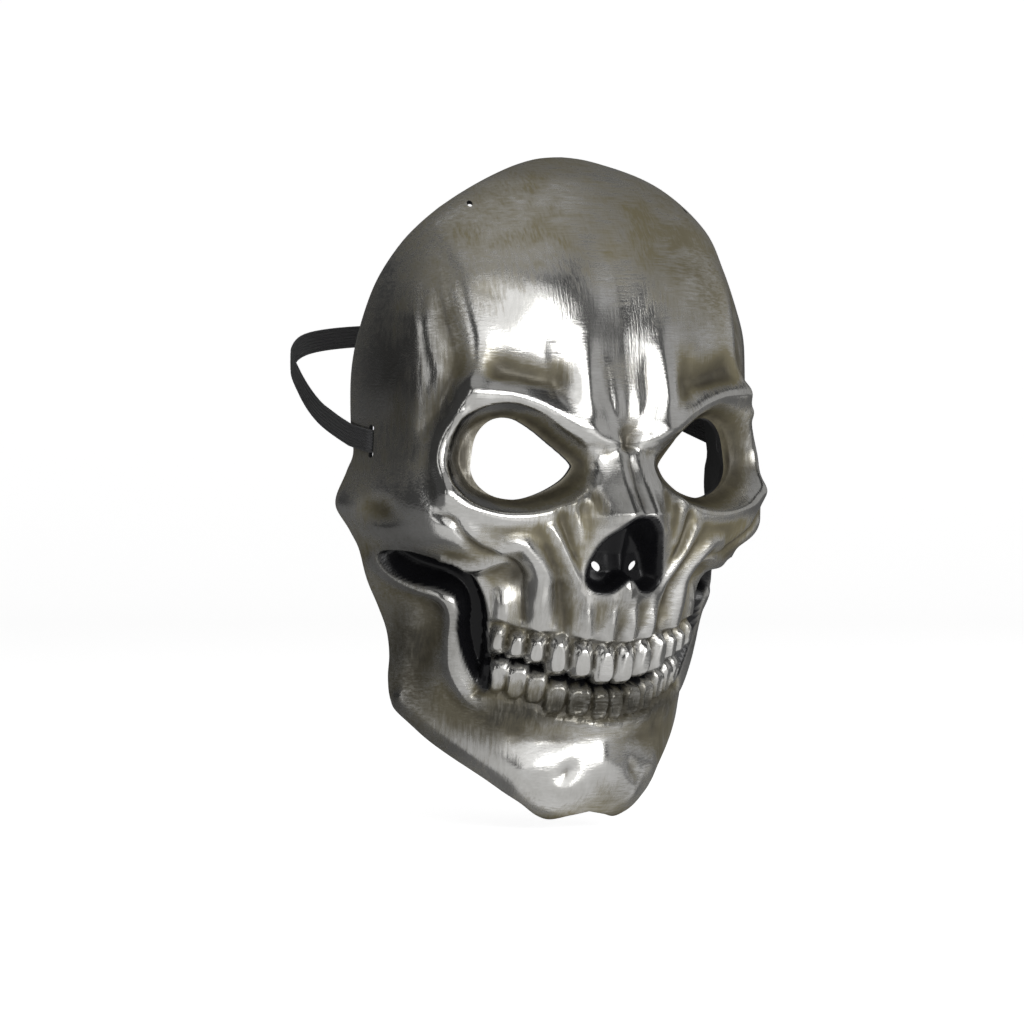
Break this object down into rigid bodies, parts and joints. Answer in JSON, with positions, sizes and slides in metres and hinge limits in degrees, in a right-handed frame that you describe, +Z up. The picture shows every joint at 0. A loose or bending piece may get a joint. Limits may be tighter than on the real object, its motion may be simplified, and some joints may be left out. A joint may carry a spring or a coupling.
{
  "type": "skull mask",
  "caption": "Face-covering skull mask of formed plastic with a gunmetal finish, open eyes and a ribbed elastic strap round the back of the head.",
  "frame": {"origin": "on the midline between the eyes, at the inside of the brow, where the mask rests on the wearer's forehead", "axes": "+Z up the face, the face looks along -Y, the head goes in from +Y, +X is the wearer's left"},
  "size_m": [0.1831, 0.1934, 0.2652],
  "materials": {
    "gunmetal_paint": "aged silver paint over black plastic, dark in the hollows",
    "black_elastic": "ribbed woven elastic"
  },
  "bodies": {
    "root": {"mask_shell": "gunmetal_paint", "elastic_strap": "black_elastic"}
  },
  "joints": []
}
